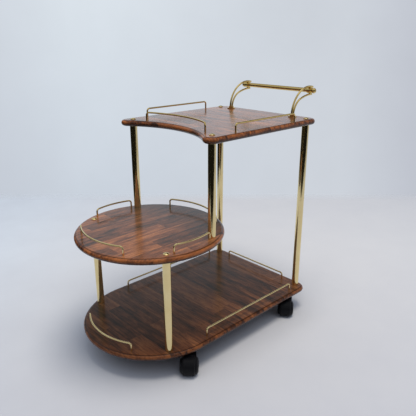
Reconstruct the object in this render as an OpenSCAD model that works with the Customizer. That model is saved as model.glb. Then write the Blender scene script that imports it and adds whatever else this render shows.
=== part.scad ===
// Tea trolley with three wooden shelves on six tubular posts.
// A round middle shelf stands over the rounded end of the long bottom shelf,
// and the top shelf has a hollowed front that lets tall things stand on the disc.
// Curved wire rails guard every shelf, a bar handle arches out behind the top,
// and four swivel casters with twin wheels carry it. Lengths are millimetres.
// The handle is at +X, the rounded end at -X, up is +Z and the floor is Z = 0.
// Left and right are those of a person who stands at the handle and looks to -X.

/* [Shelves] */
// Thickness of each shelf board, whose edge is a full half round
board_t = 18; // [16:1:22]
// Diameter of the round middle shelf
disc_d = 428; // [410:2:440]
// Width of the bottom shelf
bottom_w = 432; // [420:2:450]
// Length of the bottom shelf, from its rounded nose to its rear edge
bottom_len = 704; // [680:2:740]
// How far the centre of the bottom nose lies behind the centre of the disc
nose_back = 6; // [2:1:14]
// Radius of the bottom shelf's rear corners
bottom_corner_r = 34; // [24:1:40]
// Width of the top shelf
top_w = 408; // [396:2:416]
// Length of the top shelf, from the tips of its horns to its rear edge
top_len = 457; // [440:1:470]
// How far the top shelf's rear edge stands behind the bottom shelf's
top_overhang = 10; // [0:1:20]
// Radius of the top shelf's rear corners
top_corner_r = 25; // [20:1:36]
// Radius of the hollow in the top shelf's front edge
hollow_r = 276; // [256:2:300]
// Radius of the rounded horns on both sides of the hollow
horn_r = 24; // [20:1:28]

/* [Posts] */
// Outer diameter of the tubular posts
post_d = 22; // [18:1:25]
// Wall of the posts
post_wall = 1.2; // [0.8:0.1:2]
// Distance from the disc's edge to the centres of the four posts that hold it
post_inset = 24; // [22:1:30]
// Angle of those posts from the trolley's middle line
post_angle = 65; // [62:1:68]
// Distance from the bottom shelf's rear edge to the rear posts
rear_post_from_edge = 26; // [22:1:32]
// Distance from the bottom shelf's sides to the rear posts
rear_post_from_side = 32; // [32:1:40]
// Clear height between the bottom and the middle shelf
lower_gap = 268; // [230:2:310]
// Clear height between the middle and the top shelf
upper_gap = 264; // [230:2:310]
// Depth to which the post ends are let into the shelves
post_seat = 2; // [1:0.5:3]
// Length of the plug in each end of a post
plug_len = 10; // [6:1:16]

/* [Post fixings] */
// Diameter of the threaded rod inside each post
rod_d = 6; // [5:0.5:8]
// Diameter of the domed cap nuts
cap_d = 17; // [15:0.5:19]
// Height of the domed cap nuts above the wood
cap_h = 4.5; // [3.5:0.5:6]
// Depth to which cap nuts and handle flanges are let into the wood
trim_seat = 0.8; // [0.5:0.1:1.5]
// Width of the hexagon nuts across their flats
nut_flats = 10; // [9:0.5:13]
// Height of the hexagon nuts
nut_h = 5; // [4:0.5:7]
// Diameter of the washers
washer_d = 18; // [16:1:24]
// Thickness of the washers
washer_t = 1.6; // [1:0.1:2.5]

/* [Rails] */
// Diameter of the rail wire
wire_d = 5; // [4:0.5:6]
// Height of the rails, from the shelf to the middle of the wire
rail_h = 23.5; // [20:0.5:32]
// Radius at which the wire turns down into its legs
rail_bend_r = 8; // [6:1:10]
// Distance from the edges of the two lower shelves to their rails
rail_inset = 21.5; // [20:0.5:28]
// Depth of the rail legs in the wood
leg_depth = 12; // [8:1:13]
// Angle between the bends of the middle shelf's side rails
middle_side_span = 33; // [26:1:36]
// Angle between the bends of the middle shelf's front rail
middle_front_span = 60; // [46:2:66]
// Angle between the bends of the middle shelf's rear rail
middle_rear_span = 62; // [46:2:72]
// Angle between the bends of the bottom shelf's front rail
bottom_front_span = 61; // [46:1:72]
// Length of the bottom shelf's side rails
bottom_side_rail = 382; // [300:1:400]
// Distance from the rear posts to the ends of the bottom shelf's side rails
bottom_rail_gap = 46; // [40:1:70]
// Length of the bottom shelf's rear rail
bottom_rear_rail = 257; // [200:1:264]
// Distance from the bottom shelf's rear edge to its rear rail
bottom_rear_inset = 28; // [22:1:50]
// Length of the top shelf's side rails
top_side_rail = 252; // [200:1:280]
// Distance from the top shelf's sides to its side rails
top_inset = 13.5; // [12:0.5:18]
// Angle between the bends of the rail along the hollow
hollow_rail_span = 48; // [40:2:52]
// Distance from the edge of the hollow to its rail
hollow_inset = 20; // [16:1:26]

/* [Handle] */
// Distance between the two handle brackets
bracket_span = 264; // [240:2:276]
// Diameter of the handle bar
bar_d = 14; // [10:1:15]
// Gap between a bracket's collar and the end cap beside it
collar_gap = 0.5; // [0.5:0.5:8]
// Distance of the bar behind the brackets' feet
bar_back = 84; // [80:1:90]
// Height of the bar above the top shelf
bar_up = 75; // [70:1:84]
// Diameter of the bracket rods
bow_d = 6; // [5:0.5:7]
// Outer diameter of the collars that hold the bar
collar_d = 20; // [18:1:23]
// Length of the collars
collar_len = 12; // [8:1:16]
// Diameter of the ball caps on the bar's ends
end_cap_d = 17; // [16.5:0.5:21]
// Diameter of the flanges under the brackets
flange_d = 27; // [24:1:32]
// Thickness of the flanges
flange_t = 3; // [2:0.5:4]
// Diameter of the screws that hold the brackets
screw_d = 5; // [4:0.5:6]

/* [Casters] */
// Diameter of the caster wheels
wheel_d = 50; // [46:1:52]
// Height of a hood's neck above its crest, which with the wheels sets how high the bottom shelf stands
neck_rise = 0.5; // [0.5:0.5:10]
// Width of a caster over both wheels
caster_w = 52; // [46:1:56]
// Width of the hoods, beyond which the wheels' shoulders round off
hood_w = 34; // [30:1:38]
// Distance from the swivel axis back to the axle
trail = 22; // [18:1:24]
// Angle by which the front casters trail away from straight forward
front_caster_turn = 45; // [-180:5:180]
// The same angle of the rear casters
rear_caster_turn = 35; // [-180:5:180]
// Distance of the front casters ahead of the disc's centre
front_caster_ahead = 24; // [10:1:40]
// Distance of the rear casters ahead of the bottom shelf's rear edge
rear_caster_ahead = 82; // [82:1:100]
// Distance of the casters from the bottom shelf's sides
caster_inset = 24; // [20:1:30]
// Diameter of the caster stems
stem_d = 8; // [7:0.5:10]
// Diameter of the axles
axle_d = 6; // [5:0.5:7]

/* [Hidden] */
// Clearance of pieces that are glued, screwed or pushed in
fit = 0.1;
// Radial clearance of turning shafts
running = 0.05;
// Gap between pieces that turn past each other
turning_gap = 0.8;
// Gap between a caster and the collar that it turns under
swivel_gap = 0.3;
// How much wider the holes for rods and screws are than what goes through them
play = 1;
// How far cuts run past the faces that they open
past = 1;
// Depth to which welded brass pieces run into each other
weld = 0.6;
// How far a solder bead stands round the wire or rod that it joins
bead = 0.1;
// Smoothness of big, middle and small rounds
big_fn = 180;
mid_fn = 72;
wire_fn = 32;

edge_r = board_t / 2;
disc_r = disc_d / 2;
bottom_half = bottom_w / 2;
top_half = top_w / 2;
wire_r = wire_d / 2;
bow_r = bow_d / 2;
wheel_r = wheel_d / 2;

nose_x = nose_back;
bottom_rear_x = nose_x - bottom_half + bottom_len;
top_rear_x = bottom_rear_x + top_overhang;
horn_tip_x = top_rear_x - top_len;
horn_y = top_half - horn_r;
horn_x = horn_tip_x + horn_r;
hollow_x = horn_x - sqrt(pow(hollow_r + horn_r, 2) - pow(horn_y, 2));
horn_turn = atan2(horn_y, horn_x - hollow_x);

hood_wall = 3.5;
hood_gap = 1.2;
hood_r = wheel_r + hood_gap + hood_wall;
socket_flange_t = 1.5;
stem_collar_h = 3;
hood_neck_top = wheel_r + hood_r + neck_rise;
caster_h = hood_neck_top + swivel_gap + stem_collar_h + socket_flange_t;

bottom_z = caster_h;
bottom_top = bottom_z + board_t;
middle_z = bottom_top + lower_gap;
middle_top = middle_z + board_t;
top_z = middle_top + upper_gap;
top_top = top_z + board_t;

ring_r = disc_r - post_inset;
rear_post_x = bottom_rear_x - rear_post_from_edge;
rear_post_y = bottom_half - rear_post_from_side;
upper_x = ring_r * cos(post_angle);
upper_y = ring_r * sin(post_angle);
// Places of the posts on the right; those on the left mirror them
UPPER = [upper_x, upper_y];
REAR = [rear_post_x, rear_post_y];
LOWER = [-upper_x, upper_y];

middle_rail_r = disc_r - rail_inset;
nose_rail_r = bottom_half - rail_inset;
hollow_rail_r = hollow_r + hollow_inset;
bottom_rail_x = rear_post_x - bottom_rail_gap;
bottom_rail_y = bottom_half - rail_inset;
bottom_rear_rail_x = bottom_rear_x - bottom_rear_inset;
top_rail_y = top_half - top_inset;
top_rail_x = (upper_x + rear_post_x) / 2;
// An arc rail is its shelf's height, the place and radius of its arc and the angles of its bends
MIDDLE_SIDE = [middle_top, 0, middle_rail_r, 90 - middle_side_span / 2, 90 + middle_side_span / 2];
MIDDLE_FRONT = [middle_top, 0, middle_rail_r, 180 - middle_front_span / 2, 180 + middle_front_span / 2];
MIDDLE_REAR = [middle_top, 0, middle_rail_r, -middle_rear_span / 2, middle_rear_span / 2];
BOTTOM_FRONT = [bottom_top, nose_x, nose_rail_r, 180 - bottom_front_span / 2, 180 + bottom_front_span / 2];
TOP_FRONT = [top_top, hollow_x, hollow_rail_r, -hollow_rail_span / 2, hollow_rail_span / 2];
// A straight rail is its shelf's height and the places of its two legs
BOTTOM_SIDE = [bottom_top, [bottom_rail_x - bottom_side_rail, bottom_rail_y], [bottom_rail_x, bottom_rail_y]];
BOTTOM_REAR = [bottom_top, [bottom_rear_rail_x, -bottom_rear_rail / 2], [bottom_rear_rail_x, bottom_rear_rail / 2]];
TOP_SIDE = [top_top, [top_rail_x - top_side_rail / 2, top_rail_y], [top_rail_x + top_side_rail / 2, top_rail_y]];

foot_x = rear_post_x;
bar_x = foot_x + bar_back;
bar_z = top_top + bar_up;
bar_len = bracket_span + collar_len + end_cap_d + 2 * collar_gap;
bow_z = top_top + flange_t;
rod_z = bow_z + weld;
// The rods rise side by side from the foot and pass over and under the collar
bow_gap = 3;
bow_step = (bow_d + bow_gap) / 2;
bow_from_bar = collar_d / 2 + bow_r - weld;
over_r = bar_z + bow_from_bar - rod_z;
over_x = foot_x - bow_step + over_r;
over_end = 13;
under_end_r = 160;
under_turn = 20;
under_rise = bar_z - bow_from_bar - rod_z;
under_r = (under_rise - under_end_r * (1 - cos(under_turn))) / cos(under_turn);
under_x = foot_x + bow_step + under_r;
under_end_x = under_x - under_r * sin(under_turn) + under_end_r * sin(under_turn);
boss_d = 2 * bow_step + bow_d + 2;
boss_h = 5;

rod_over_nut = 2;
socket_d = stem_d + 4;
socket_depth = board_t - 4;
socket_flange_d = stem_d * 3;
stem_flats = 13;
stem_in_hood = 8;
hood_neck_d = 20;
web_t = 5;
hood_round = 3;
// Angles round the axle at which the hood ends, from its lip behind the wheels to the one ahead of them
hood_back = -35;
hood_front = 195;
// The saddle joins the hood's top to its neck
saddle_w = 38;
saddle_top = wheel_r + hood_r - 1;
wheel_w = caster_w / 2 - web_t / 2 - turning_gap;
tread_r = 2;
shoulder_r = (caster_w - hood_w) / 2 + tread_r;
axle_in_wheel = wheel_w - 4;
front_caster_x = -front_caster_ahead;
rear_caster_x = bottom_rear_x - rear_caster_ahead;
caster_y = bottom_half - caster_inset;
// A pair of casters is its place along the trolley and the angle by which it trails
FRONT_PAIR = [front_caster_x, front_caster_turn];
REAR_PAIR = [rear_caster_x, rear_caster_turn];

// The origin is the middle of the floor under the trolley
front_x = min(-disc_r, nose_x - bottom_half);
end_x = max(over_x + over_r * sin(over_end), under_end_x) + bow_r + bead;
mid_x = (front_x + end_x) / 2;

WOOD = [0.36, 0.19, 0.11];
BRASS = [0.83, 0.70, 0.36];
STEEL = [0.66, 0.67, 0.68];
BLACK = [0.07, 0.07, 0.08];

function polar(r, a) = [r * cos(a), r * sin(a)];
// Moves a piece from the disc's centre line to the trolley's own origin
module placed() {
    translate([-mid_x, 0, 0]) children();
}

module both_sides() {
    children();
    mirror([0, 1, 0]) children();
}

// Puts what ends a rail at both ends of its arc, on the face of its shelf
module at_arc_ends(rail) {
    for (end = [0, 1]) translate([rail[1], 0, rail[0]]) rotate([0, 0, rail[3 + end]])
        translate([rail[2], 0, 0]) mirror([0, 1 - end, 0]) children();
}

// Puts what ends a rail before both legs of a straight rail, on the face of its shelf
module at_line_ends(rail) {
    for (end = [1, 2]) {
        way = rail[end] - rail[3 - end];
        translate([rail[end][0], rail[end][1], rail[0]])
            rotate([0, 0, atan2(way[1], way[0]) - 90]) translate([0, -rail_bend_r, 0]) children();
    }
}

// Half a disc that bulges to +X, the cut of a board's rounded edge
module half_round() {
    intersection() {
        circle(r = edge_r, $fn = mid_fn);
        translate([0, -board_t]) square([board_t, 2 * board_t]);
    }
}

// A rounded edge from one point to the next, bulging to the left of the way
module edge_line(from, to) {
    way = to - from;
    translate([from[0], from[1], edge_r])
        rotate([0, 0, atan2(way[1], way[0])])
            rotate([90, 0, 90]) linear_extrude(norm(way)) half_round();
}

// A rounded edge along an arc from the X axis, whose middle line has radius r
module edge_sweep(r, angle, inward = false) {
    rotate_extrude(angle = angle, $fn = big_fn) translate([r, 0]) mirror([inward ? 1 : 0, 0]) half_round();
}

module edge_arc(centre, r, from, to) {
    translate([centre[0], centre[1], edge_r]) rotate([0, 0, from]) edge_sweep(r, to - from);
}

// The same along an arc whose angle isn't round: two halves start at its ends and overlap in the middle,
// so that the ends lie exactly where the next edges start
module edge_arc_in_halves(centre, r, from, to, inward = false) {
    half = floor((to - from) / 2) + 1;
    translate([centre[0], centre[1], edge_r]) {
        rotate([0, 0, from]) edge_sweep(r, half, inward);
        rotate([0, 0, to]) mirror([0, 1, 0]) edge_sweep(r, half, inward);
    }
}

// Holes and seats in a board; z is measured from its underside
module post_hole() {
    translate([0, 0, -past]) cylinder(d = rod_d + play, h = board_t + 2 * past, $fn = wire_fn);
}
module post_seat_above() {
    translate([0, 0, board_t - post_seat]) cylinder(d = post_d + 2 * fit, h = board_t, $fn = mid_fn);
}
module post_seat_below() {
    translate([0, 0, post_seat - board_t]) cylinder(d = post_d + 2 * fit, h = board_t, $fn = mid_fn);
}
module trim_seat_above(d) {
    translate([0, 0, board_t - trim_seat]) cylinder(d = d + 2 * fit, h = board_t, $fn = mid_fn);
}
module leg_hole() {
    translate([0, rail_bend_r, -leg_depth]) cylinder(d = wire_d + 2 * fit, h = board_t, $fn = wire_fn);
}

module bottom_board() {
    side = bottom_half - edge_r;
    rear = bottom_rear_x - edge_r;
    corner = bottom_corner_r - edge_r;
    corner_x = bottom_rear_x - bottom_corner_r;
    corner_y = bottom_half - bottom_corner_r;
    linear_extrude(board_t) {
        translate([nose_x, 0]) circle(r = side, $fn = big_fn);
        translate([nose_x, -side]) square([corner_x - nose_x, 2 * side]);
        translate([nose_x, -corner_y]) square([rear - nose_x, 2 * corner_y]);
        for (s = [-1, 1]) translate([corner_x, s * corner_y]) circle(r = corner, $fn = mid_fn);
    }
    edge_arc([nose_x, 0], side, 90, 270);
    edge_line([nose_x, side], [corner_x, side]);
    edge_arc([corner_x, corner_y], corner, 0, 90);
    edge_line([rear, corner_y], [rear, -corner_y]);
    edge_arc([corner_x, -corner_y], corner, 270, 360);
    edge_line([corner_x, -side], [nose_x, -side]);
}

module bottom_shelf() {
    color(WOOD) placed() translate([0, 0, bottom_z]) difference() {
        bottom_board();
        both_sides() for (post = [REAR, LOWER]) translate(post) {
            post_hole();
            post_seat_above();
        }
        translate([0, 0, -bottom_z]) {
            both_sides() at_line_ends(BOTTOM_SIDE) leg_hole();
            at_arc_ends(BOTTOM_FRONT) leg_hole();
            at_line_ends(BOTTOM_REAR) leg_hole();
        }
        both_sides() for (pair = [FRONT_PAIR, REAR_PAIR])
            translate([pair[0], caster_y, socket_depth - board_t])
                cylinder(d = socket_d + 2 * fit, h = board_t, $fn = mid_fn);
    }
}

module middle_board() {
    cylinder(r = disc_r - edge_r, h = board_t, $fn = big_fn);
    edge_arc([0, 0], disc_r - edge_r, 0, 360);
}

module middle_shelf() {
    color(WOOD) placed() translate([0, 0, middle_z]) difference() {
        middle_board();
        both_sides() translate(UPPER) {
            post_hole();
            post_seat_above();
        }
        both_sides() translate(LOWER) {
            post_hole();
            post_seat_below();
            trim_seat_above(cap_d);
        }
        translate([0, 0, -middle_z]) {
            both_sides() at_arc_ends(MIDDLE_SIDE) leg_hole();
            at_arc_ends(MIDDLE_FRONT) leg_hole();
            at_arc_ends(MIDDLE_REAR) leg_hole();
        }
    }
}

// A pie slice of a disc between two angles less than 180 degrees apart
module slice(centre, r, from, to) {
    far = 2 * r;
    translate(centre) intersection() {
        circle(r = r, $fn = mid_fn);
        polygon([[0, 0], polar(far, from), polar(far, (from + to) / 2), polar(far, to)]);
    }
}

module top_board() {
    side = top_half - edge_r;
    rear = top_rear_x - edge_r;
    corner = top_corner_r - edge_r;
    corner_x = top_rear_x - top_corner_r;
    corner_y = top_half - top_corner_r;
    horn = horn_r - edge_r;
    hollow = hollow_r + edge_r;
    // A point inside the hollow, on the line from a horn's centre to the place where the two arcs meet
    front = [horn_x, horn_y] - polar(2 * horn, horn_turn);
    linear_extrude(board_t) {
        difference() {
            polygon([front, [horn_x, horn_y], [horn_x, side], [corner_x, side],
                     [corner_x, -side], [horn_x, -side], [horn_x, -horn_y], [front[0], -front[1]]]);
            translate([hollow_x, 0]) circle(r = hollow, $fn = 2 * big_fn);
        }
        translate([corner_x - corner, -corner_y]) square([2 * corner, 2 * corner_y]);
        for (s = [-1, 1]) translate([corner_x, s * corner_y]) circle(r = corner, $fn = mid_fn);
        slice([horn_x, horn_y], horn, 90, 180 + horn_turn);
        slice([horn_x, -horn_y], horn, 180 - horn_turn, 270);
    }
    edge_arc_in_halves([hollow_x, 0], hollow, -horn_turn, horn_turn, inward = true);
    edge_arc_in_halves([horn_x, horn_y], horn, 90, 180 + horn_turn);
    edge_arc_in_halves([horn_x, -horn_y], horn, 180 - horn_turn, 270);
    edge_line([horn_x, side], [corner_x, side]);
    edge_arc([corner_x, corner_y], corner, 0, 90);
    edge_line([rear, corner_y], [rear, -corner_y]);
    edge_arc([corner_x, -corner_y], corner, 270, 360);
    edge_line([corner_x, -side], [horn_x, -side]);
}

module top_shelf() {
    color(WOOD) placed() translate([0, 0, top_z]) difference() {
        top_board();
        both_sides() for (post = [REAR, UPPER]) translate(post) {
            post_hole();
            post_seat_below();
            trim_seat_above(cap_d);
        }
        translate([0, 0, -top_z]) {
            both_sides() at_line_ends(TOP_SIDE) leg_hole();
            at_arc_ends(TOP_FRONT) leg_hole();
        }
        both_sides() translate([foot_x, bracket_span / 2]) {
            translate([0, 0, -past]) cylinder(d = screw_d + play, h = board_t + 2 * past, $fn = wire_fn);
            trim_seat_above(flange_d);
        }
    }
}

// A post of the given clear height, standing in the seats of both boards
module post(place, z, gap) {
    color(BRASS) placed() translate([place[0], place[1], z - post_seat]) difference() {
        cylinder(d = post_d, h = gap + 2 * post_seat, $fn = mid_fn);
        translate([0, 0, -past])
            cylinder(d = post_d - 2 * post_wall, h = gap + 2 * post_seat + 2 * past, $fn = mid_fn);
    }
}

module plug() {
    difference() {
        cylinder(d = post_d - 2 * post_wall - 2 * fit, h = plug_len, $fn = mid_fn);
        translate([0, 0, -past]) cylinder(d = rod_d + 2 * fit, h = plug_len + 2 * past, $fn = wire_fn);
    }
}

module plug_pair(place, z, gap) {
    translate([place[0], place[1], z - post_seat]) {
        plug();
        translate([0, 0, gap + 2 * post_seat - plug_len]) plug();
    }
}

module post_plugs() {
    color(BLACK) placed() both_sides() {
        plug_pair(UPPER, middle_top, upper_gap);
        plug_pair(REAR, bottom_top, top_z - bottom_top);
        plug_pair(LOWER, bottom_top, lower_gap);
    }
}

// Rods run from inside the cap nut down through the lower board, its washer and nut
module tie_rods(place, low_z, high_top) {
    start = low_z - washer_t - nut_h - rod_over_nut;
    color(STEEL) placed() both_sides() translate([place[0], place[1], start])
        cylinder(d = rod_d, h = high_top + cap_h / 2 - start, $fn = wire_fn);
}

module cap_nut() {
    brim = 1.2;
    dome = cap_h - brim;
    ball_r = (pow(cap_d / 2, 2) + dome * dome) / (2 * dome);
    difference() {
        union() {
            translate([0, 0, -trim_seat]) cylinder(d = cap_d, h = trim_seat + brim, $fn = mid_fn);
            translate([0, 0, brim]) intersection() {
                translate([0, 0, dome - ball_r]) sphere(r = ball_r, $fn = mid_fn);
                cylinder(d = cap_d + 2 * past, h = dome + past, $fn = mid_fn);
            }
        }
        translate([0, 0, -trim_seat - past])
            cylinder(d = rod_d + 2 * fit, h = trim_seat + past + cap_h / 2, $fn = wire_fn);
    }
}

module cap_nuts() {
    color(BRASS) placed() both_sides() {
        translate([UPPER[0], UPPER[1], top_top]) cap_nut();
        translate([REAR[0], REAR[1], top_top]) cap_nut();
        translate([LOWER[0], LOWER[1], middle_top]) cap_nut();
    }
}

module under_boards() {
    translate([UPPER[0], UPPER[1], middle_z]) children();
    translate([REAR[0], REAR[1], bottom_z]) children();
    translate([LOWER[0], LOWER[1], bottom_z]) children();
}

module rod_washers() {
    color(STEEL) placed() both_sides() under_boards() translate([0, 0, -washer_t]) difference() {
        cylinder(d = washer_d, h = washer_t, $fn = mid_fn);
        translate([0, 0, -past]) cylinder(d = rod_d + 2 * fit, h = washer_t + 2 * past, $fn = wire_fn);
    }
}

module rod_nuts() {
    color(STEEL) placed() both_sides() under_boards() translate([0, 0, -washer_t - nut_h]) difference() {
        cylinder(d = nut_flats / cos(30), h = nut_h, $fn = 6);
        translate([0, 0, -past]) cylinder(d = rod_d + 2 * fit, h = nut_h + 2 * past, $fn = wire_fn);
    }
}

// The end of a rail: its wire comes in along +Y, bends down at the origin and enters the shelf
module rail_end() {
    translate([0, 0, rail_h - rail_bend_r]) rotate([90, 0, 90])
        rotate_extrude(angle = 90, $fn = mid_fn)
            translate([rail_bend_r, 0]) circle(d = wire_d, $fn = wire_fn);
    translate([0, rail_bend_r, -leg_depth])
        cylinder(d = wire_d, h = leg_depth + rail_h - rail_bend_r, $fn = wire_fn);
}

module arc_rail(rail) {
    color(BRASS) placed() {
        at_arc_ends(rail) {
            rail_end();
            translate([0, 0, rail_h]) sphere(r = wire_r + bead, $fn = wire_fn);
        }
        translate([rail[1], 0, rail[0] + rail_h]) rotate([0, 0, rail[3]])
            rotate_extrude(angle = rail[4] - rail[3], $fn = big_fn)
                translate([rail[2], 0]) circle(d = wire_d, $fn = wire_fn);
    }
}

module line_rail(rail) {
    way = rail[2] - rail[1];
    color(BRASS) placed() {
        at_line_ends(rail) rail_end();
        translate([rail[1][0], rail[1][1], rail[0] + rail_h])
            rotate([0, 0, atan2(way[1], way[0])]) translate([rail_bend_r, 0, 0])
                rotate([0, 90, 0]) cylinder(d = wire_d, h = norm(way) - 2 * rail_bend_r, $fn = wire_fn);
    }
}

module on_left() {
    mirror([0, 1, 0]) children();
}

// A rod bent in the upright plane of the bracket, from one angle to another
module bow_arc(x, z, r, from, to) {
    translate([x, 0, z]) rotate([90, 0, 0]) rotate([0, 0, from])
        rotate_extrude(angle = to - from, $fn = big_fn)
            translate([r, 0]) circle(d = bow_d, $fn = wire_fn);
}

// A bead where that rod ends or changes its radius
module bow_bead(x, z, r, at) {
    translate([x + r * cos(at), 0, z + r * sin(at)]) sphere(r = bow_r + bead, $fn = wire_fn);
}

module handle_bracket() {
    under_end_z = bar_z - bow_from_bar - under_end_r;
    color(BRASS) placed() translate([0, bracket_span / 2, 0]) difference() {
        union() {
            translate([foot_x, 0, bow_z]) cylinder(d = boss_d, h = boss_h, $fn = mid_fn);
            bow_arc(over_x, rod_z, over_r, 90 - over_end, 180);
            bow_bead(over_x, rod_z, over_r, 90 - over_end);
            bow_arc(under_x, rod_z, under_r, 90 + under_turn, 180);
            bow_bead(under_x, rod_z, under_r, 90 + under_turn);
            bow_arc(under_end_x, under_end_z, under_end_r, 90, 90 + under_turn);
            bow_bead(under_end_x, under_end_z, under_end_r, 90);
            translate([bar_x, collar_len / 2, bar_z]) rotate([90, 0, 0])
                cylinder(d = collar_d, h = collar_len, $fn = mid_fn);
        }
        translate([bar_x, collar_len, bar_z]) rotate([90, 0, 0])
            cylinder(d = bar_d + 2 * fit, h = 2 * collar_len, $fn = mid_fn);
        translate([foot_x, 0, bow_z - past]) cylinder(d = screw_d + 2 * fit, h = boss_h, $fn = wire_fn);
    }
}

module handle_bar() {
    color(BRASS) placed() translate([bar_x, bar_len / 2, bar_z]) rotate([90, 0, 0])
        cylinder(d = bar_d, h = bar_len, $fn = mid_fn);
}

module handle_end_caps() {
    color(BRASS) placed() both_sides() translate([bar_x, bar_len / 2, bar_z]) difference() {
        sphere(d = end_cap_d, $fn = mid_fn);
        rotate([90, 0, 0]) cylinder(d = bar_d + 2 * fit, h = end_cap_d, $fn = mid_fn);
    }
}

module handle_flanges() {
    color(BRASS) placed() both_sides() translate([foot_x, bracket_span / 2, top_top - trim_seat]) difference() {
        cylinder(d = flange_d, h = flange_t + trim_seat, $fn = mid_fn);
        translate([0, 0, -past])
            cylinder(d = screw_d + 2 * fit, h = flange_t + trim_seat + 2 * past, $fn = wire_fn);
    }
}

module handle_screws() {
    head_h = 2.5;
    color(STEEL) placed() both_sides() translate([foot_x, bracket_span / 2, top_z]) {
        translate([0, 0, -head_h]) cylinder(d = 2 * screw_d, h = head_h, $fn = mid_fn);
        translate([0, 0, -head_h])
            cylinder(d = screw_d, h = head_h + board_t + flange_t + boss_h - past, $fn = wire_fn);
    }
}

module at_casters() {
    both_sides() for (pair = [FRONT_PAIR, REAR_PAIR]) translate([pair[0], caster_y, 0]) children();
}

module caster_sockets() {
    color(STEEL) placed() at_casters() translate([0, 0, bottom_z]) difference() {
        union() {
            translate([0, 0, -socket_flange_t])
                cylinder(d = socket_flange_d, h = socket_flange_t, $fn = mid_fn);
            cylinder(d = socket_d, h = socket_depth, $fn = mid_fn);
        }
        translate([0, 0, -board_t]) cylinder(d = stem_d + 2 * fit, h = 2 * board_t, $fn = wire_fn);
    }
}

module caster_stems() {
    color(STEEL) placed() at_casters() {
        translate([0, 0, hood_neck_top - stem_in_hood])
            cylinder(d = stem_d, h = bottom_z + socket_depth - hood_neck_top + stem_in_hood, $fn = wire_fn);
        translate([0, 0, bottom_z - socket_flange_t - stem_collar_h])
            cylinder(d = stem_flats / cos(30), h = stem_collar_h, $fn = 6);
    }
}

// A caster's own frame: its swivel axis is Z and its axle lies trail behind, along +X
module caster_frame(pair, side) {
    placed() translate([pair[0], side * caster_y, 0]) rotate([0, 0, side * (180 - pair[1])]) children();
}

// A cylinder round the axle, between two places along it
module on_axle(r, from, to, fn) {
    translate([trail, to, wheel_r]) rotate([90, 0, 0]) cylinder(r = r, h = to - from, $fn = fn);
}

// Sweeps a cut round the axle, between the hood's two ends
module hood_sweep() {
    translate([trail, 0, wheel_r]) rotate([90, 0, 0]) rotate([0, 0, hood_back])
        rotate_extrude(angle = hood_front - hood_back, $fn = mid_fn) children();
}

// The cut of the hood's wall, with its outer edges rounded
module hood_cut() {
    half = hood_w / 2;
    inner_r = hood_r - hood_wall;
    intersection() {
        translate([inner_r, -half]) square([hood_r, hood_w]);
        union() {
            translate([0, -half]) square([hood_r - hood_round, hood_w]);
            translate([0, hood_round - half]) square([hood_r, hood_w - 2 * hood_round]);
            for (s = [-1, 1]) translate([hood_r - hood_round, s * (half - hood_round)])
                circle(r = hood_round, $fn = wire_fn);
        }
    }
}

// The hood's top between the wheels' crest and the neck, which rises as a sloping collar
module saddle() {
    saddle_low = wheel_r + axle_d;
    difference() {
        union() {
            translate([0, 0, saddle_low]) linear_extrude(saddle_top - saddle_low) {
                circle(d = saddle_w, $fn = mid_fn);
                translate([0, -saddle_w / 2]) square([trail, saddle_w]);
            }
            translate([0, 0, saddle_top])
                cylinder(d1 = saddle_w, d2 = hood_neck_d, h = hood_neck_top - saddle_top, $fn = mid_fn);
        }
        on_axle(hood_r - hood_wall / 2, -saddle_w, saddle_w, mid_fn);
    }
}

module hood(pair, side) {
    web_r = wheel_r - 5;
    color(BLACK) caster_frame(pair, side) difference() {
        union() {
            hood_sweep() hood_cut();
            hood_sweep() translate([axle_d, -web_t / 2]) square([hood_r - hood_wall / 2 - axle_d, web_t]);
            on_axle(web_r, -web_t / 2, web_t / 2, mid_fn);
            saddle();
        }
        translate([0, 0, hood_neck_top - stem_in_hood])
            cylinder(r = stem_d / 2 + running, h = board_t, $fn = wire_fn);
        on_axle(axle_d / 2 + running, -web_t, web_t, wire_fn);
    }
}

module axle(pair, side) {
    half = web_t / 2 + turning_gap + axle_in_wheel;
    color(STEEL) caster_frame(pair, side) on_axle(axle_d / 2, -half, half, wire_fn);
}

// Half of a wheel's cut: a tread with a wide rounded shoulder, a dished face and a hub
module wheel_cut() {
    face_r = wheel_r - shoulder_r;
    hub_r = axle_d * 1.2;
    rim = 1.5;
    dish = 1.5;
    difference() {
        union() {
            square([face_r, wheel_w]);
            square([wheel_r - tread_r, wheel_w - shoulder_r]);
            translate([0, tread_r]) square([wheel_r, wheel_w - shoulder_r - tread_r]);
            translate([wheel_r - tread_r, tread_r]) circle(r = tread_r, $fn = wire_fn);
            intersection() {
                translate([face_r, wheel_w - shoulder_r]) circle(r = shoulder_r, $fn = mid_fn);
                square([wheel_r + past, wheel_w + past]);
            }
        }
        translate([hub_r, wheel_w - dish]) square([face_r - rim - hub_r, dish + past]);
        translate([-past, -past]) square([past + axle_d / 2 + running, past + axle_in_wheel + running]);
    }
}

module wheel(pair, side, face) {
    color(BLACK) caster_frame(pair, side)
        translate([trail, face * (web_t / 2 + turning_gap), wheel_r]) rotate([-face * 90, 0, 0])
            rotate_extrude($fn = mid_fn) wheel_cut();
}

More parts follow.
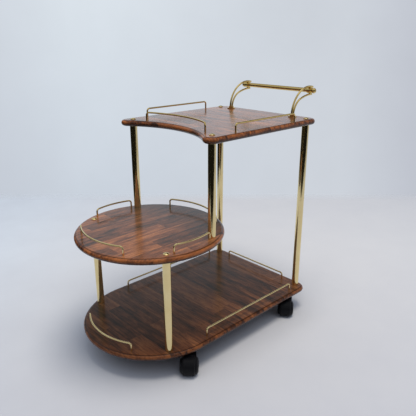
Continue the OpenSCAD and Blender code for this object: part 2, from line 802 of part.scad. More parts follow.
top_shelf();
middle_shelf();
bottom_shelf();
on_left() post(UPPER, middle_top, upper_gap);  // post_upper_left
post(UPPER, middle_top, upper_gap);  // post_upper_right
on_left() post(REAR, bottom_top, top_z - bottom_top);  // post_rear_left
post(REAR, bottom_top, top_z - bottom_top);  // post_rear_right
on_left() post(LOWER, bottom_top, lower_gap);  // post_lower_left
post(LOWER, bottom_top, lower_gap);  // post_lower_right
post_plugs();
tie_rods(UPPER, middle_z, top_top);  // tie_rods_upper
tie_rods(REAR, bottom_z, top_top);  // tie_rods_rear
tie_rods(LOWER, bottom_z, middle_top);  // tie_rods_lower
cap_nuts();
rod_washers();
rod_nuts();
on_left() line_rail(TOP_SIDE);  // top_rail_left
line_rail(TOP_SIDE);  // top_rail_right
arc_rail(TOP_FRONT);  // top_rail_front
on_left() arc_rail(MIDDLE_SIDE);  // middle_rail_left
arc_rail(MIDDLE_SIDE);  // middle_rail_right
arc_rail(MIDDLE_FRONT);  // middle_rail_front
arc_rail(MIDDLE_REAR);  // middle_rail_rear
on_left() line_rail(BOTTOM_SIDE);  // bottom_rail_left
line_rail(BOTTOM_SIDE);  // bottom_rail_right
arc_rail(BOTTOM_FRONT);  // bottom_rail_front
line_rail(BOTTOM_REAR);  // bottom_rail_rear
handle_bar();
on_left() handle_bracket();  // handle_bracket_left
handle_bracket();  // handle_bracket_right
handle_flanges();
handle_end_caps();
handle_screws();
caster_sockets();
caster_stems();
hood(FRONT_PAIR, -1);  // front_left_hood
axle(FRONT_PAIR, -1);  // front_left_axle
wheel(FRONT_PAIR, -1, 1);  // front_left_wheel_a
wheel(FRONT_PAIR, -1, -1);  // front_left_wheel_b
hood(FRONT_PAIR, 1);  // front_right_hood
axle(FRONT_PAIR, 1);  // front_right_axle
wheel(FRONT_PAIR, 1, 1);  // front_right_wheel_a
wheel(FRONT_PAIR, 1, -1);  // front_right_wheel_b
hood(REAR_PAIR, -1);  // rear_left_hood
axle(REAR_PAIR, -1);  // rear_left_axle
wheel(REAR_PAIR, -1, 1);  // rear_left_wheel_a
wheel(REAR_PAIR, -1, -1);  // rear_left_wheel_b
hood(REAR_PAIR, 1);  // rear_right_hood
axle(REAR_PAIR, 1);  // rear_right_axle
wheel(REAR_PAIR, 1, 1);  // rear_right_wheel_a
wheel(REAR_PAIR, 1, -1);  // rear_right_wheel_b
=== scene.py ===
"""Tea trolley: finishes of its shelves, brass and casters, and the stage round it."""

import math

import bmesh
import bpy
from bpy.props import FloatProperty, FloatVectorProperty, PointerProperty
from mathutils import Matrix, Vector

bl_info = {
    "name": "Tea trolley",
    "version": (1, 0, 0),
    "blender": (4, 5, 0),
    "location": "3D View > Sidebar > Trolley",
    "description": "Gives the tea trolley its wood, brass and caster finishes and sets up its stage",
    "category": "Object",
}

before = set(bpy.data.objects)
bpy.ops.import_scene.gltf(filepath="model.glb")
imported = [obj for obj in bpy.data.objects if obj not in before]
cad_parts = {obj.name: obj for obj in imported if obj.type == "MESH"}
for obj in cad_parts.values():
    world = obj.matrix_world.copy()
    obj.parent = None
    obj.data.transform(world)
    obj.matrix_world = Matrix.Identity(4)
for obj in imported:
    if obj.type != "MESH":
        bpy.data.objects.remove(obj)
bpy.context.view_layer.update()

# Material, turn of the grain in degrees, seed of its pattern and how light the board is drawn, where the
# bottom board's lower value is painted shade under the boards above it
SHELVES = {
    "top_shelf": ("Top shelf wood", 90, 3.0, 1.0),
    "middle_shelf": ("Middle shelf wood", 0, 11.0, 1.1),
    "bottom_shelf": ("Bottom shelf wood", 90, 23.0, 0.79),
}
POSTS = [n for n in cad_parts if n.startswith("post_") and n != "post_plugs"]
RAILS = [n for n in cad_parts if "_rail_" in n]
HANDLE = ["handle_bar", "handle_bracket_left", "handle_bracket_right",
          "handle_flanges", "handle_end_caps"]
HARDWARE = ["tie_rods_upper", "tie_rods_rear", "tie_rods_lower", "rod_washers", "rod_nuts",
            "handle_screws", "caster_sockets", "caster_stems"]

# Patterns of the wood: repeats in a metre along and across the grain, then the detail,
# roughness and distortion of the noise
FIGURE = (5.0, 48.0, 3.0, 0.55, 1.0)
MOTTLE = (24.0, 70.0, 2.0, 0.6, 0.6)
GRAIN = (13.0, 230.0, 5.0, 0.6, 0.3)
PORES = (60.0, 1400.0, 2.0, 0.5, 0.0)
# How much the staves' own tones and the patterns change the colour
TONE_SPREAD, TONE_LOW = 0.41, 0.255
FIGURE_SHARE, MOTTLE_SHARE, GRAIN_SHARE = 1.3, 0.9, 0.95
PORE_SHARE, PORE_COLOUR = 0.35, (0.008, 0.004, 0.003)
SEAM_SHARE, SEAM_COLOUR = 0.35, (0.010, 0.005, 0.003)
# Distances from a glue line, in metres, between which its dark line fades out
SEAM_NEAR, SEAM_FAR = 0.0002, 0.0008
# Greatest shift of the butt joints, in stave lengths, and greatest way between two staves'
# places in the log, in metres
JOINT_SHIFT, LOG_SPREAD = 7.0, 3.0
# Greatest shares on the round edges of the sanded colour with its painted highlight and of the dark
# colour, which is painted shade and painted reflection
SANDED_AND_HIGHLIGHT_SHARE, DARK_SHARE = 0.70, 0.7
# How far the shelves' patterns move for each step of their seeds, in metres
SEED_STEP = 0.0117
# Share of the grain in the height of the wood, and strength and depth of its bumps
GRAIN_HEIGHT, WOOD_BUMP, WOOD_BUMP_DEPTH = 0.4, 0.25, 0.0002
WOOD_SPECULAR, LACQUER_IOR = 0.06, 1.32

# Colour of the dull clouds on the brass, as shares of its red, green and blue, and the
# roughness of its brightest and dullest parts, as shares of its mean roughness
BRASS_CLOUD, BRASS_BRIGHT, BRASS_DULL = (0.90, 0.86, 0.76), 0.7, 1.5
# Repeats of the wiping marks in a metre
WIPES = (400.0, 400.0, 60.0)
STEEL_DARKER = 0.72
DUST_SHARE, DUST_COLOUR = 0.35, (0.007, 0.007, 0.009)
PLASTIC_SPECULAR, PLASTIC_BUMP = 0.16, 0.5

# Place of the camera and direction from the trolley back to it
CAMERA_PLACE, CAMERA_BACK = (-0.9463, -1.0485, 0.8832), (-0.6497, -0.6822, 0.3355)
SENSOR_WIDTH = 36
LAMP_PLACE, LAMP_AIM = (0.08, -0.45, 3.1), (0, 0, 0.3)
LAMP_SIZE, LAMP_COLOUR = 1.5, (1.04, 0.97, 0.86)
# Level directions: to the picture's right, away from the camera, and to the middle of the
# backdrop that metal mirrors
TO_RIGHT, AWAY, TO_BACKDROP = (0.72, -0.69, 0.0), (0.69, 0.724, 0.0), (0.988, 0.156, 0.0)
# The pale patch overhead that metal mirrors
OVERHEAD, OVERHEAD_COLOUR = (0.10, -0.10, 0.99), (1.15, 1.13, 1.08)
# Colour of the even light, and the share of it that comes from low down
SKY_COLOUR, LOW_SKY = (0.85, 0.945, 1.12), 0.06
# Half the depth of the soft line where the floor meets the backdrop, in metres
WALL_SOFTNESS = 0.06
# Share of the floor's radius at which it starts to fade
RIM_START = 0.75
FLOOR_SEGMENTS = 96


# Sizes and colours that a user would change

class WoodSettings(bpy.types.PropertyGroup):
    stave_width: FloatProperty(
        name="Stave width", description="Width of the glued staves across the grain",
        default=0.045, min=0.02, max=0.12, unit="LENGTH")
    stave_length: FloatProperty(
        name="Stave length", description="Length of a stave between two butt joints",
        default=0.34, min=0.1, max=1.0, unit="LENGTH")
    # the darkest staves' colour is also laid on the round edges as painted shade and painted reflection
    dark: FloatVectorProperty(
        name="Dark stave", description="Colour of the darkest staves",
        default=(0.022, 0.008, 0.004), min=0, max=1, subtype="COLOR")
    middle: FloatVectorProperty(
        name="Middle stave", description="Colour of most staves",
        default=(0.124, 0.040, 0.015), min=0, max=1, subtype="COLOR")
    light: FloatVectorProperty(
        name="Light stave", description="Colour of the lightest staves",
        default=(0.300, 0.108, 0.036), min=0, max=1, subtype="COLOR")
    # the round edges tend to this colour both as sanded wood and as a painted highlight
    edge: FloatVectorProperty(
        name="Rounded edge", description="Colour that the sanded round edges tend to",
        default=(0.330, 0.100, 0.022), min=0, max=1, subtype="COLOR")
    lacquer_roughness: FloatProperty(
        name="Lacquer roughness", description="Roughness of the clear lacquer on the wood",
        default=0.18, min=0, max=1, subtype="FACTOR")


class MetalSettings(bpy.types.PropertyGroup):
    brass: FloatVectorProperty(
        name="Brass", description="Colour of the polished brass of the posts and lower rails",
        default=(0.86, 0.71, 0.38), min=0, max=1, subtype="COLOR")
    gold: FloatVectorProperty(
        name="Deep brass", description="Colour of the deeper brass of the top rails and the handle",
        default=(0.80, 0.61, 0.25), min=0, max=1, subtype="COLOR")
    brass_roughness: FloatProperty(
        name="Brass roughness", description="Mean roughness of the polished brass",
        default=0.10, min=0, max=1, subtype="FACTOR")
    steel: FloatVectorProperty(
        name="Steel", description="Colour of the zinc-plated fixings",
        default=(0.55, 0.56, 0.57), min=0, max=1, subtype="COLOR")


class CasterSettings(bpy.types.PropertyGroup):
    plastic: FloatVectorProperty(
        name="Black plastic", description="Colour of the hoods, wheels and post plugs",
        default=(0.0030, 0.0030, 0.0040), min=0, max=1, subtype="COLOR")
    grain_depth: FloatProperty(
        name="Grain depth", description="Depth of the moulded grain on the plastic",
        default=0.00006, min=0, max=0.001, unit="LENGTH", precision=6)


class StageSettings(bpy.types.PropertyGroup):
    backdrop: FloatVectorProperty(
        name="Backdrop", description="Colour of the top left of the backdrop",
        default=(0.700, 0.760, 0.820), min=0, max=1, subtype="COLOR")
    # the backdrop's darker foot and sides are painted shade
    backdrop_low: FloatVectorProperty(
        name="Backdrop low", description="Colour of the left of the backdrop near the floor",
        default=(0.585, 0.640, 0.715), min=0, max=1, subtype="COLOR")
    backdrop_right: FloatVectorProperty(
        name="Backdrop right", description="Colour of the right of the backdrop",
        default=(0.610, 0.648, 0.705), min=0, max=1, subtype="COLOR")
    backdrop_rim: FloatVectorProperty(
        name="Backdrop rim", description="Colour that the backdrop darkens to at both sides",
        default=(0.470, 0.490, 0.560), min=0, max=1, subtype="COLOR")
    studio: FloatVectorProperty(
        name="Studio", description="Colour of the dim studio above the backdrop that metal mirrors",
        default=(0.15, 0.135, 0.11), min=0, max=1, subtype="COLOR")
    studio_left: FloatVectorProperty(
        name="Studio left", description="Colour of the brighter upper studio on the left and in front",
        default=(0.48, 0.49, 0.50), min=0, max=1, subtype="COLOR")
    room: FloatVectorProperty(
        name="Room", description="Colour of the dark room that polished metal mirrors",
        default=(0.010, 0.010, 0.009), min=0, max=1, subtype="COLOR")
    floor: FloatVectorProperty(
        name="Floor", description="Colour of the studio floor",
        default=(0.502, 0.494, 0.493), min=0, max=1, subtype="COLOR")
    floor_left: FloatVectorProperty(
        name="Floor left", description="Colour of the floor on the left",
        default=(0.530, 0.556, 0.580), min=0, max=1, subtype="COLOR")
    # painted shade: the colour the floor darkens to towards the camera, where the light falls off
    floor_near_shade: FloatVectorProperty(
        name="Floor near shade", description="Colour that the floor darkens to in front of the trolley",
        default=(0.402, 0.402, 0.424), min=0, max=1, subtype="COLOR")
    floor_radius: FloatProperty(
        name="Floor radius", description="Radius at which the floor fades into the backdrop",
        default=2.6, min=1, max=6, unit="LENGTH")
    wall_distance: FloatProperty(
        name="Wall distance", description="Distance from the trolley's middle to the foot of the backdrop",
        default=1.26, min=1, max=6, unit="LENGTH")
    sky_level: FloatProperty(
        name="Sky level", description="Strength of the even light from above",
        default=1.05, min=0, max=3)
    key_power: FloatProperty(
        name="Key power", description="Power of the big soft lamp",
        default=70, min=0, max=500, unit="POWER")
    focal_length: FloatProperty(
        name="Focal length", description="Focal length of the camera in millimetres",
        default=41.72, min=10, max=200)


# Node helpers

class Tree:
    """Adds nodes to a material, a world or a group, with links between them."""

    def __init__(self, tree):
        self.tree = tree

    def add(self, kind, inputs=None, **settings):
        """A new node with these settings, its inputs set or linked."""
        node = self.tree.nodes.new(kind)
        for name, value in settings.items():
            setattr(node, name, value)
        for name, value in (inputs or {}).items():
            self.feed(node.inputs[name], value)
        return node

    def feed(self, socket, value):
        """Links an input to another node's output, or sets its value."""
        if isinstance(value, bpy.types.NodeSocket):
            self.tree.links.new(value, socket)
        elif socket.type == "RGBA":
            socket.default_value = (*value, 1)
        else:
            socket.default_value = value

    def math(self, operation, a, b=0.0, c=0.0):
        return self.add("ShaderNodeMath", {0: a, 1: b, 2: c}, operation=operation).outputs[0]

    def noise(self, vector, scale, detail, roughness, distortion=0.0):
        return self.add("ShaderNodeTexNoise", {
            "Vector": vector, "Scale": scale, "Detail": detail,
            "Roughness": roughness, "Distortion": distortion}).outputs["Fac"]

    def chance(self, vector, dimensions):
        return self.add("ShaderNodeTexWhiteNoise", {"Vector": vector},
                        noise_dimensions=dimensions).outputs

    def stretch(self, vector, scale):
        return self.add("ShaderNodeVectorMath", {0: vector, 1: scale},
                        operation="MULTIPLY").outputs[0]

    def dot(self, vector, direction):
        return self.add("ShaderNodeVectorMath", {0: vector, 1: direction},
                        operation="DOT_PRODUCT").outputs[1]

    def split(self, vector):
        return self.add("ShaderNodeSeparateXYZ", {0: vector}).outputs

    def join(self, x, y, z=0.0):
        return self.add("ShaderNodeCombineXYZ", {0: x, 1: y, 2: z}).outputs[0]

    def between(self, value, low, high, to_low=0.0, to_high=1.0):
        """A value that runs from to_low at low to to_high at high and stays there beyond."""
        return self.add("ShaderNodeMapRange", {
            "Value": value, "From Min": low, "From Max": high,
            "To Min": to_low, "To Max": to_high}).outputs["Result"]

    def mix(self, factor, a, b):
        # the sockets of a mix node for colours are its inputs 6 and 7 and its output 2
        return self.add("ShaderNodeMix", {0: factor, 6: a, 7: b}, data_type="RGBA").outputs[2]


def new_group(name, inputs, outputs):
    """An empty shader node group with named sockets, its input node and its output node."""
    group = bpy.data.node_groups.new(name, "ShaderNodeTree")
    for label, kind, value in inputs:
        socket = group.interface.new_socket(label, in_out="INPUT", socket_type=kind)
        if value is not None:
            socket.default_value = value
    for label, kind in outputs:
        group.interface.new_socket(label, in_out="OUTPUT", socket_type=kind)
    given, put = group.nodes.new("NodeGroupInput"), group.nodes.new("NodeGroupOutput")
    return Tree(group), given.outputs, put.inputs


def new_material(name):
    material = bpy.data.materials.new(name)
    material.use_nodes = True
    material.node_tree.nodes.clear()
    return material, Tree(material.node_tree)


def shade(tree, **sockets):
    """A Principled BSDF with these sockets, joined to the material's output."""
    inputs = {name.replace("_", " "): value for name, value in sockets.items()}
    shader = tree.add("ShaderNodeBsdfPrincipled", inputs)
    tree.add("ShaderNodeOutputMaterial", {"Surface": shader.outputs["BSDF"]})


def finish_nodes(names, material):
    """Puts a material on CAD nodes."""
    for name in names:
        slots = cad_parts[name].data.materials
        slots.clear()
        slots.append(material)


# Wood

def staves_group():
    """Glued staves of dark wood, with their grain along X: colour, roughness and height."""
    old = bpy.data.node_groups.get("Staves")
    if old:
        return old
    tree, given, put = new_group(
        "Staves",
        [("Vector", "NodeSocketVector", None), ("Seed", "NodeSocketFloat", 0.0),
         ("Width", "NodeSocketFloat", 0.045), ("Length", "NodeSocketFloat", 0.34),
         ("Dark", "NodeSocketColor", (0.03, 0.01, 0.01, 1)),
         ("Middle", "NodeSocketColor", (0.09, 0.03, 0.01, 1)),
         ("Light", "NodeSocketColor", (0.2, 0.08, 0.03, 1)),
         ("Edge", "NodeSocketColor", (0.3, 0.12, 0.04, 1)),
         ("Edge share", "NodeSocketFloat", 0.0), ("Dark share", "NodeSocketFloat", 0.0)],
        [("Color", "NodeSocketColor"), ("Roughness", "NodeSocketFloat"),
         ("Height", "NodeSocketFloat")])
    place = tree.split(given["Vector"])
    across = tree.math("DIVIDE", place["Y"], given["Width"])
    strip = tree.math("FLOOR", across)
    # the butt joints of each strip lie elsewhere
    shift = tree.chance(tree.join(strip, given["Seed"]), "2D")["Value"]
    along = tree.math("ADD", tree.math("DIVIDE", place["X"], given["Length"]),
                      tree.math("MULTIPLY", shift, JOINT_SHIFT))
    stave = tree.chance(tree.join(strip, tree.math("FLOOR", along), given["Seed"]), "3D")
    # each stave is cut from another place of the log
    log = tree.stretch(stave["Color"], (LOG_SPREAD,) * 3)
    moved = tree.add("ShaderNodeVectorMath", {0: given["Vector"], 1: log},
                     operation="ADD").outputs[0]

    def pattern(lengthways, crossways, detail, roughness, distortion):
        stretched = tree.stretch(moved, (lengthways, crossways, crossways))
        return tree.noise(stretched, 1.0, detail, roughness, distortion)

    figure, mottle, grain, pores = (pattern(*kind) for kind in (FIGURE, MOTTLE, GRAIN, PORES))
    tone = tree.math("MULTIPLY_ADD", stave["Value"], TONE_SPREAD, TONE_LOW)
    for wave, share in ((figure, FIGURE_SHARE), (mottle, MOTTLE_SHARE), (grain, GRAIN_SHARE)):
        tone = tree.math("ADD", tone,
                         tree.math("MULTIPLY", tree.math("SUBTRACT", wave, 0.5), share))
    tone = tree.add("ShaderNodeClamp", {"Value": tone}).outputs[0]
    colour = tree.mix(tree.between(tone, 0.05, 0.5), given["Dark"], given["Middle"])
    colour = tree.mix(tree.between(tone, 0.5, 1.0), colour, given["Light"])
    # on the round edges the edge colour is sanded wood with a painted highlight, and the dark colour is
    # painted shade and painted reflection
    sanded_and_highlight = tree.math("MULTIPLY", given["Edge share"],
                     tree.between(tone, 0.25, 0.85, 0.0, SANDED_AND_HIGHLIGHT_SHARE))
    colour = tree.mix(sanded_and_highlight, colour, given["Edge"])
    dark = tree.math("MULTIPLY", given["Dark share"], DARK_SHARE)
    colour = tree.mix(dark, colour, given["Dark"])
    pore = tree.between(pores, 0.36, 0.47, 1.0, 0.0)
    colour = tree.mix(tree.math("MULTIPLY", pore, PORE_SHARE), colour, PORE_COLOUR)
    seams = []
    for way, size in ((across, given["Width"]), (along, given["Length"])):
        side = tree.math("MULTIPLY", tree.math("PINGPONG", way, 0.5), size)
        seams.append(tree.between(side, SEAM_NEAR, SEAM_FAR, 1.0, 0.0))
    seam = tree.math("MAXIMUM", *seams)
    colour = tree.mix(tree.math("MULTIPLY", seam, SEAM_SHARE), colour, SEAM_COLOUR)
    rough = tree.between(tree.math("ADD", grain, pore), 0.3, 1.5, 0.34, 0.52)
    height = tree.math("SUBTRACT", tree.math("MULTIPLY", grain, GRAIN_HEIGHT),
                       tree.math("ADD", pore, seam))
    for name, value in (("Color", colour), ("Roughness", rough), ("Height", height)):
        tree.feed(put[name], value)
    return tree.tree


def edge_shares(tree):
    """Shares on a board's round edge, by how far it faces up, of sanded wood with a painted highlight and
    of dark wood that is painted shade and painted reflection.
    """
    up = tree.split(tree.add("ShaderNodeNewGeometry").outputs["Normal"])["Z"]
    # a painted dark reflection line at the edge's top, then sanded orange wood with a painted highlight,
    # then the painted shade of the underside
    line = tree.math("MULTIPLY", tree.between(up, 0.995, 0.96), tree.between(up, 0.80, 0.90))
    sanded_and_highlight = tree.math("MULTIPLY", tree.between(up, 0.92, 0.72), tree.between(up, -0.35, 0.25))
    under = tree.math("MULTIPLY", tree.between(up, 0.0, -0.5), tree.between(up, -0.995, -0.95))
    return sanded_and_highlight, tree.math("MAXIMUM", line, under)


def shelf_wood(settings, name, turn, seed, tone_and_painted_shade):
    """The lacquered stave wood of one shelf."""
    material, tree = new_material(name)
    turned = tree.add("ShaderNodeMapping", {
        "Vector": tree.add("ShaderNodeTexCoord").outputs["Object"],
        "Rotation": (0, 0, math.radians(turn)), "Location": (0, SEED_STEP * seed, 0)}).outputs[0]
    # painted highlight, shade and reflection on the round edges, by how far they face up
    sanded_and_highlight, dark = edge_shares(tree)
    given = {"Vector": turned, "Seed": seed, "Width": settings.stave_width,
             "Length": settings.stave_length, "Edge share": sanded_and_highlight, "Dark share": dark}
    # the stave colours are scaled by the board's value, which on the bottom shelf darkens them as painted
    # shade
    for label in ("Dark", "Middle", "Light", "Edge"):
        given[label] = [tone_and_painted_shade * c for c in getattr(settings, label.lower())]
    staves = tree.add("ShaderNodeGroup", node_tree=staves_group())
    for label, value in given.items():
        tree.feed(staves.inputs[label], value)
    bump = tree.add("ShaderNodeBump", {"Strength": WOOD_BUMP, "Distance": WOOD_BUMP_DEPTH,
                                       "Height": staves.outputs["Height"]})
    shade(tree, Base_Color=staves.outputs["Color"], Roughness=staves.outputs["Roughness"],
          Normal=bump.outputs[0], Specular_IOR_Level=WOOD_SPECULAR, Coat_Weight=1.0,
          Coat_Roughness=settings.lacquer_roughness, Coat_IOR=LACQUER_IOR)
    return material


class TROLLEY_OT_shelves(bpy.types.Operator):
    """Gives the three shelves their lacquered stave wood"""

    bl_idname = "trolley.shelves"
    bl_label = "Finish the shelves"

    def execute(self, context):
        settings = context.scene.trolley_wood
        for node, look in SHELVES.items():
            finish_nodes([node], shelf_wood(settings, *look))
        return {"FINISHED"}


# Brass, steel and plastic

def brass_material(name, brass, rough):
    """Polished brass with dull clouds and fine upright wiping marks."""
    old = bpy.data.materials.get(name)
    if old:
        return old
    material, tree = new_material(name)
    place = tree.add("ShaderNodeTexCoord").outputs["Object"]
    cloud = tree.noise(place, 22.0, 4.0, 0.6)
    wipes = tree.noise(tree.stretch(place, WIPES), 1.0, 3.0, 0.6)
    spread = tree.between(tree.math("ADD", cloud, wipes), 0.7, 1.4,
                          rough * BRASS_BRIGHT, rough * BRASS_DULL)
    darker = [c * share for c, share in zip(brass, BRASS_CLOUD)]
    colour = tree.mix(tree.between(cloud, 0.35, 0.75), brass, darker)
    shade(tree, Base_Color=colour, Metallic=1.0, Roughness=spread)
    return material


def polished_brass(context):
    metal = context.scene.trolley_metal
    return brass_material("Polished brass", metal.brass, metal.brass_roughness)


def deep_brass(context):
    metal = context.scene.trolley_metal
    return brass_material("Deep brass", metal.gold, metal.brass_roughness)


def zinc_steel(context):
    """Zinc-plated steel with its spangle."""
    old = bpy.data.materials.get("Zinc-plated steel")
    if old:
        return old
    steel = context.scene.trolley_metal.steel
    material, tree = new_material("Zinc-plated steel")
    place = tree.add("ShaderNodeTexCoord").outputs["Object"]
    spangle = tree.noise(place, 420.0, 3.0, 0.6)
    darker = [c * STEEL_DARKER for c in steel]
    colour = tree.mix(tree.between(spangle, 0.3, 0.7), steel, darker)
    rough = tree.between(spangle, 0.3, 0.7, 0.24, 0.42)
    shade(tree, Base_Color=colour, Metallic=1.0, Roughness=rough)
    return material


def black_plastic(context):
    """Black plastic with a moulded grain and a little dust."""
    old = bpy.data.materials.get("Black plastic")
    if old:
        return old
    settings = context.scene.trolley_casters
    material, tree = new_material("Black plastic")
    place = tree.add("ShaderNodeTexCoord").outputs["Object"]
    grain = tree.noise(place, 1600.0, 2.0, 0.5)
    dust = tree.noise(place, 60.0, 4.0, 0.6)
    colour = tree.mix(tree.between(dust, 0.5, 0.85, 0.0, DUST_SHARE),
                      settings.plastic, DUST_COLOUR)
    rough = tree.between(dust, 0.3, 0.8, 0.36, 0.50)
    bump = tree.add("ShaderNodeBump", {"Strength": PLASTIC_BUMP,
                                       "Distance": settings.grain_depth, "Height": grain})
    shade(tree, Base_Color=colour, Roughness=rough, Normal=bump.outputs[0],
          Specular_IOR_Level=PLASTIC_SPECULAR)
    return material


class TROLLEY_OT_posts(bpy.types.Operator):
    """Gives the posts and their cap nuts polished brass"""

    bl_idname = "trolley.posts"
    bl_label = "Finish the posts"

    def execute(self, context):
        finish_nodes(POSTS + ["cap_nuts"], polished_brass(context))
        return {"FINISHED"}


class TROLLEY_OT_rails(bpy.types.Operator):
    """Gives the top rails deep brass and the lower rails polished brass"""

    bl_idname = "trolley.rails"
    bl_label = "Finish the rails"

    def execute(self, context):
        finish_nodes([n for n in RAILS if n.startswith("top_")], deep_brass(context))
        finish_nodes([n for n in RAILS if not n.startswith("top_")], polished_brass(context))
        return {"FINISHED"}


class TROLLEY_OT_handle(bpy.types.Operator):
    """Gives the handle deep brass"""

    bl_idname = "trolley.handle"
    bl_label = "Finish the handle"

    def execute(self, context):
        finish_nodes(HANDLE, deep_brass(context))
        return {"FINISHED"}


class TROLLEY_OT_fixings(bpy.types.Operator):
    """Gives the rods, nuts, washers, screws, sockets and stems steel, and the plugs plastic"""

    bl_idname = "trolley.fixings"
    bl_label = "Finish the fixings"

    def execute(self, context):
        finish_nodes(HARDWARE, zinc_steel(context))
        finish_nodes(["post_plugs"], black_plastic(context))
        return {"FINISHED"}


class TROLLEY_OT_casters(bpy.types.Operator):
    """Gives the four twin-wheel casters black plastic and steel axles"""

    bl_idname = "trolley.casters"
    bl_label = "Finish the casters"

    def execute(self, context):
        black = [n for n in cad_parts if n.endswith(("_hood", "_wheel_a", "_wheel_b"))]
        finish_nodes(black, black_plastic(context))
        finish_nodes([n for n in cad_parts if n.endswith("_axle")], zinc_steel(context))
        return {"FINISHED"}


# Stage

class TROLLEY_OT_stage(bpy.types.Operator):
    """Makes the camera, the backdrop, the floor and the lamp"""

    bl_idname = "trolley.stage"
    bl_label = "Set up the stage"

    def execute(self, context):
        settings = context.scene.trolley_stage
        self.make_camera(context, settings)
        self.make_world(context, settings)
        self.make_floor(context, settings)
        self.make_lamp(context, settings)
        context.scene.view_settings.view_transform = "Standard"
        return {"FINISHED"}

    def make_camera(self, context, settings):
        camera = bpy.data.cameras.new("Photo camera")
        camera.lens, camera.sensor_width = settings.focal_length, SENSOR_WIDTH
        holder = bpy.data.objects.new("Photo camera", camera)
        context.scene.collection.objects.link(holder)
        back = Vector(CAMERA_BACK).normalized()
        right = Vector((0, 0, 1)).cross(back).normalized()
        up = back.cross(right)
        turn = Matrix((right, up, back)).transposed().to_4x4()
        holder.matrix_world = Matrix.Translation(CAMERA_PLACE) @ turn
        context.scene.camera = holder

    def make_world(self, context, settings):
        world = bpy.data.worlds.new("Studio")
        context.scene.world = world
        world.use_nodes = True
        world.node_tree.nodes.clear()
        tree = Tree(world.node_tree)
        way = tree.add("ShaderNodeTexCoord").outputs["Generated"]
        height = tree.split(way)["Z"]
        wall = self.wall_colour(tree, settings, way, height)
        mirrored = self.mirrored_colour(tree, settings, way, height, wall)
        path = tree.add("ShaderNodeLightPath").outputs
        seen = tree.math("MAXIMUM", path["Is Camera Ray"], path["Is Transmission Ray"])
        pale = tree.add("ShaderNodeBackground",
                        {"Color": tree.mix(seen, mirrored, wall), "Strength": 1.0})
        # most of the even light comes from high up, so that it stays dark under the shelves
        level = tree.between(height, 0.30, 0.60, settings.sky_level * LOW_SKY, settings.sky_level)
        light = tree.add("ShaderNodeBackground", {"Color": SKY_COLOUR, "Strength": level})
        show = tree.math("MAXIMUM", seen, path["Is Glossy Ray"])
        both = tree.add("ShaderNodeMixShader", {0: show, 1: light.outputs[0], 2: pale.outputs[0]})
        tree.add("ShaderNodeOutputWorld", {"Surface": both.outputs[0]})

    def wall_colour(self, tree, settings, way, height):
        """The backdrop: bluer on the left, where painted shade darkens it towards the floor, greyer on the
        right, and darkened at both sides by painted shade.
        """
        aside = tree.dot(way, TO_RIGHT)
        left = tree.mix(tree.between(height, 0.06, -0.32), settings.backdrop, settings.backdrop_low)
        wall = tree.mix(tree.between(aside, -0.20, 0.18), left, settings.backdrop_right)
        # painted shade darkens both sides of the backdrop
        rim_shade = tree.math("MAXIMUM", tree.between(aside, 0.26, 0.42, 0.0, 0.75),
                         tree.between(aside, -0.26, -0.42, 0.0, 0.35))
        wall = tree.mix(rim_shade, wall, settings.backdrop_rim)
        mottle = tree.between(tree.noise(way, 9.0, 4.0, 0.6), 0.3, 0.7, 0.985, 1.015)
        return tree.stretch(wall, tree.join(mottle, mottle, mottle))

    def mirrored_colour(self, tree, settings, way, height, wall):
        """What metal mirrors: the backdrop on one side, the dark room on the other, a studio above."""
        far = tree.between(tree.dot(way, TO_BACKDROP), 0.28, 0.42)
        behind = tree.mix(tree.between(height, 0.35, 0.60), wall, settings.studio)
        before = tree.mix(tree.between(height, 0.10, 0.45), settings.room, settings.studio_left)
        patch = tree.between(tree.dot(way, OVERHEAD), 0.90, 0.96)
        return tree.mix(patch, tree.mix(far, before, behind), OVERHEAD_COLOUR)

    def make_floor(self, context, settings):
        material, tree = new_material("Studio floor")
        place = tree.add("ShaderNodeTexCoord").outputs["Object"]
        depth, aside = tree.dot(place, AWAY), tree.dot(place, TO_RIGHT)
        colour = tree.mix(tree.between(aside, -0.1, -0.9), settings.floor, settings.floor_left)
        mottle = tree.between(tree.noise(place, 5.0, 6.0, 0.65), 0.3, 0.7, 0.0, 0.20)
        # painted shade darkens the floor towards the camera, added to its random mottle
        near_shade = tree.between(depth, 0.5, -0.45, 0.0, 0.65)
        colour = tree.mix(tree.math("ADD", mottle, near_shade), colour, settings.floor_near_shade)
        matt = tree.add("ShaderNodeBsdfDiffuse", {"Color": colour})
        clear = tree.add("ShaderNodeBsdfTransparent")
        fade = self.floor_fade(tree, settings, place, depth, aside)
        both = tree.add("ShaderNodeMixShader", {0: fade, 1: matt.outputs[0], 2: clear.outputs[0]})
        tree.add("ShaderNodeOutputMaterial", {"Surface": both.outputs[0]})
        shape = bmesh.new()
        bmesh.ops.create_circle(shape, cap_ends=True, segments=FLOOR_SEGMENTS,
                                radius=settings.floor_radius)
        mesh = bpy.data.meshes.new("Studio floor")
        shape.to_mesh(mesh)
        shape.free()
        mesh.materials.append(material)
        floor = bpy.data.objects.new("studio_floor", mesh)
        context.scene.collection.objects.link(floor)

    def floor_fade(self, tree, settings, place, depth, aside):
        """Where the floor is clear: past its rim, behind the backdrop and, in metal, in the dark room."""
        reach = tree.add("ShaderNodeVectorMath", {0: place}, operation="LENGTH").outputs[1]
        rim = tree.between(reach, settings.floor_radius * RIM_START, settings.floor_radius)
        # the floor meets the backdrop in a soft straight line behind the trolley
        wall = tree.between(depth, settings.wall_distance - WALL_SOFTNESS,
                            settings.wall_distance + WALL_SOFTNESS)
        # metal mirrors the dark room beyond the near end and the left side of the floor
        dark = tree.math("MAXIMUM", tree.between(depth, -1.08, -1.25),
                         tree.between(aside, -1.0, -1.2))
        glossy = tree.add("ShaderNodeLightPath").outputs["Is Glossy Ray"]
        return tree.math("MAXIMUM", tree.math("MAXIMUM", rim, wall),
                         tree.math("MULTIPLY", dark, glossy))

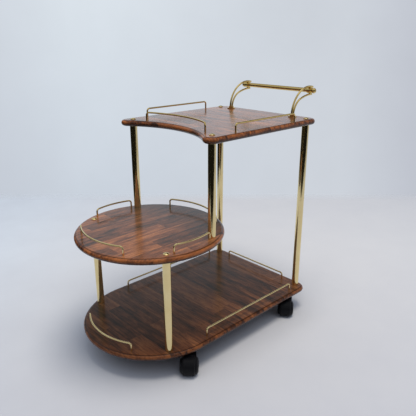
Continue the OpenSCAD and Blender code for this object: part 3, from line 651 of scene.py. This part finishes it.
    def make_lamp(self, context, settings):
        lamp = bpy.data.lights.new("Ceiling light", "AREA")
        lamp.shape, lamp.size = "DISK", LAMP_SIZE
        lamp.energy, lamp.color = settings.key_power, LAMP_COLOUR
        holder = bpy.data.objects.new("Ceiling light", lamp)
        context.scene.collection.objects.link(holder)
        # polished metal mirrors the studio round it and not the lamp itself
        holder.visible_glossy = False
        turn = (Vector(LAMP_AIM) - Vector(LAMP_PLACE)).to_track_quat("-Z", "Y").to_matrix()
        holder.matrix_world = Matrix.Translation(LAMP_PLACE) @ turn.to_4x4()


# Panel and registration

class TROLLEY_PT_panel(bpy.types.Panel):
    """Sizes, colours and steps of the tea trolley"""

    bl_idname = "TROLLEY_PT_panel"
    bl_label = "Tea trolley"
    bl_space_type = "VIEW_3D"
    bl_region_type = "UI"
    bl_category = "Trolley"

    def draw(self, context):
        for step in STEPS:
            self.layout.operator(step.bl_idname)
        for name, label in (("trolley_wood", "Wood"), ("trolley_metal", "Metal"),
                            ("trolley_casters", "Casters"), ("trolley_stage", "Stage")):
            box = self.layout.box()
            box.label(text=label)
            settings = getattr(context.scene, name)
            for item in settings.__annotations__:
                box.prop(settings, item)


SETTINGS = {"trolley_wood": WoodSettings, "trolley_metal": MetalSettings,
            "trolley_casters": CasterSettings, "trolley_stage": StageSettings}
STEPS = (TROLLEY_OT_shelves, TROLLEY_OT_posts, TROLLEY_OT_rails, TROLLEY_OT_handle,
         TROLLEY_OT_fixings, TROLLEY_OT_casters, TROLLEY_OT_stage)


def register():
    for name, group in SETTINGS.items():
        bpy.utils.register_class(group)
        setattr(bpy.types.Scene, name, PointerProperty(type=group))
    for step in STEPS + (TROLLEY_PT_panel,):
        bpy.utils.register_class(step)


def unregister():
    for step in (TROLLEY_PT_panel,) + STEPS[::-1]:
        bpy.utils.unregister_class(step)
    for name, group in SETTINGS.items():
        delattr(bpy.types.Scene, name)
        bpy.utils.unregister_class(group)


def main():
    register()
    bpy.ops.trolley.shelves()
    bpy.ops.trolley.posts()
    bpy.ops.trolley.rails()
    bpy.ops.trolley.handle()
    bpy.ops.trolley.fixings()
    bpy.ops.trolley.casters()
    bpy.ops.trolley.stage()


if __name__ == "__main__":
    main()
